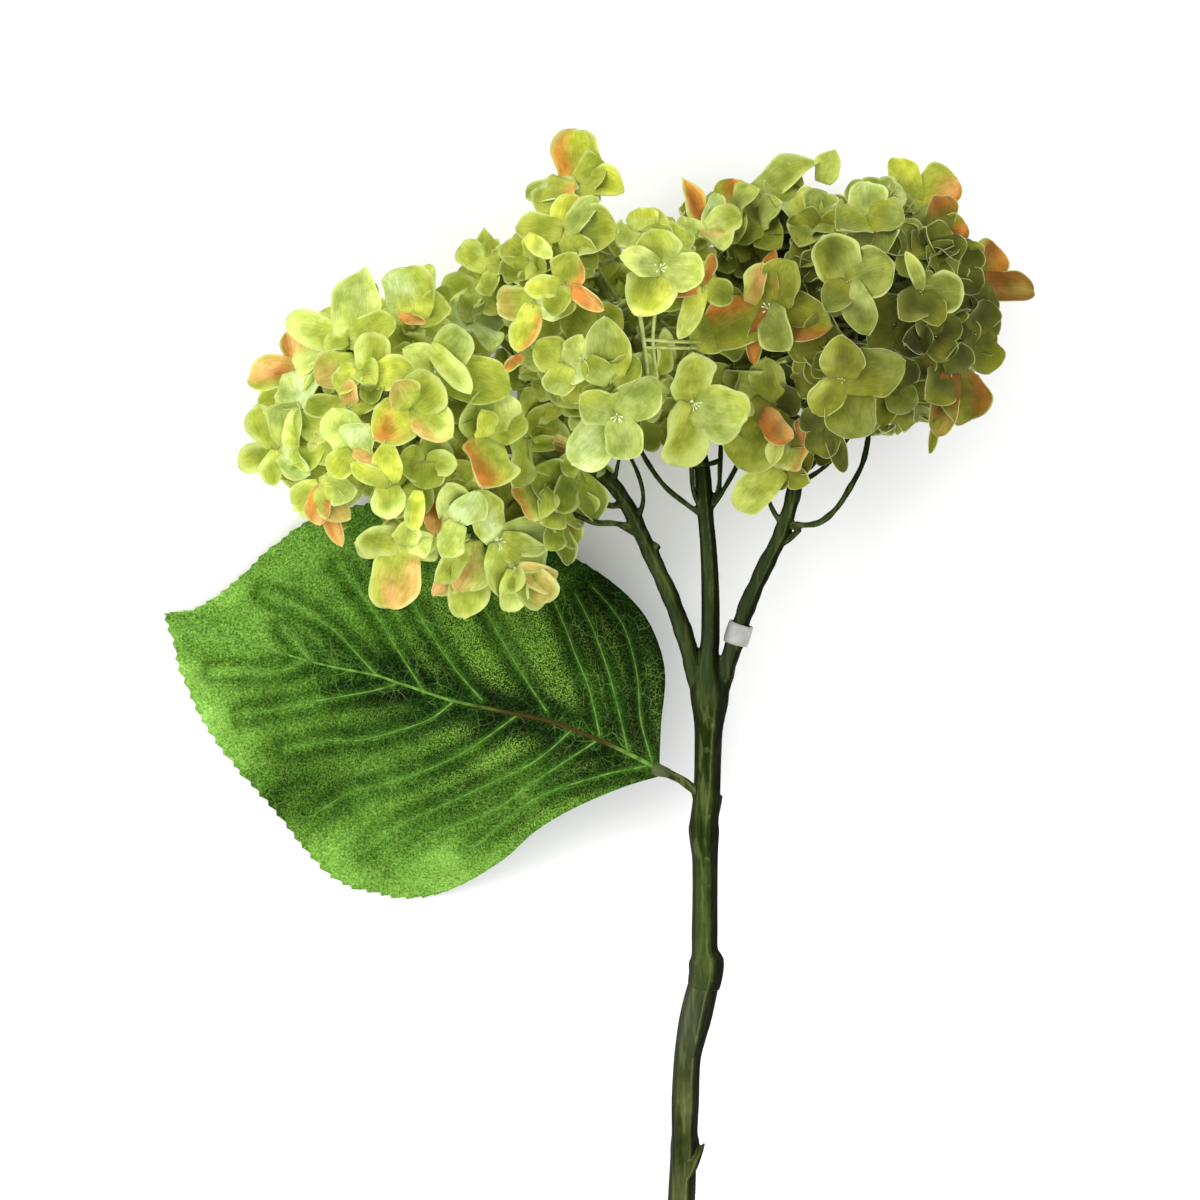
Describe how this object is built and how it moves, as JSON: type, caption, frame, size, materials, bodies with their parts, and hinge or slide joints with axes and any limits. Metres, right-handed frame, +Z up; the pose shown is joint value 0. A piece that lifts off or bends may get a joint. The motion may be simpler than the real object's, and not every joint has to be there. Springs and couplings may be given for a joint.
{
  "type": "artificial cut hydrangea",
  "caption": "Cut hydrangea spray lying down: a broad mophead of yellow-green fabric florets on forked branches, a moulded stem and a broad veined leaf.",
  "frame": {"origin": "under the middle of the bounding box, on the surface the spray lies on", "axes": "+Y along the stem from the cut end to the flower head, +Z up from the surface, +X to the right when seen from above with the head away from the viewer"},
  "size_m": [0.2364, 0.3954, 0.1039],
  "materials": {
    "stem": "satin dark olive green, ribbed",
    "leaf": "printed fabric, mottled green with pale veins",
    "floret_lime": "matt yellow-green fabric with pale rims and some orange tips",
    "floret_olive": "matt olive-green fabric with pale rims and some orange tips",
    "pedicel": "matt pale green",
    "stamen": "matt pale cream green",
    "band": "plain pale band"
  },
  "bodies": {
    "root": {"branch_band": "band", "branch_left": "stem", "branch_right": "stem", "floret_pair_centre_01": "floret_lime", "floret_pair_centre_02": "floret_lime", "floret_pair_centre_03": "floret_lime", "floret_pair_centre_04": "floret_lime", "floret_pair_centre_05": "floret_lime", "floret_pair_centre_06": "floret_lime", "floret_pair_centre_07": "floret_lime", "floret_pair_centre_08": "floret_lime", "floret_pair_centre_09": "floret_lime", "floret_pair_centre_10": "floret_lime", "floret_pair_centre_11": "floret_lime", "floret_pair_centre_12": "floret_lime", "floret_pair_centre_13": "floret_lime", "floret_pair_centre_14": "floret_lime", "floret_pair_centre_15": "floret_lime", "floret_pair_left_01": "floret_lime", "floret_pair_left_02": "floret_lime", "floret_pair_left_03": "floret_lime", "floret_pair_left_04": "floret_lime", "floret_pair_left_05": "floret_lime", "floret_pair_left_06": "floret_lime", "floret_pair_left_07": "floret_lime", "floret_pair_left_08": "floret_lime", "floret_pair_left_09": "floret_lime", "floret_pair_left_10": "floret_lime", "floret_pair_left_11": "floret_lime", "floret_pair_left_12": "floret_lime", "floret_pair_left_13": "floret_lime", "floret_pair_left_14": "floret_lime", "floret_pair_left_15": "floret_lime", "floret_pair_left_16": "floret_lime", "floret_pair_left_17": "floret_lime", "floret_pair_left_18": "floret_lime", "floret_pair_right_01": "floret_olive", "floret_pair_right_02": "floret_olive", "floret_pair_right_03": "floret_olive", "floret_pair_right_04": "floret_olive", "floret_pair_right_05": "floret_olive", "floret_pair_right_06": "floret_olive", "floret_pair_right_07": "floret_olive", "floret_pair_right_08": "floret_olive", "floret_pair_right_09": "floret_olive", "floret_pair_right_10": "floret_olive", "floret_pair_right_11": "floret_olive", "floret_pair_right_12": "floret_olive", "floret_pair_right_13": "floret_olive", "floret_pair_right_14": "floret_olive", "floret_pair_right_15": "floret_olive", "floret_pair_right_16": "floret_olive", "floret_pair_right_17": "floret_olive", "floret_pair_right_18": "floret_olive", "leaf": "leaf", "petiole": "stem", "stem_lower": "stem", "stem_upper": "stem"}
  },
  "joints": []
}
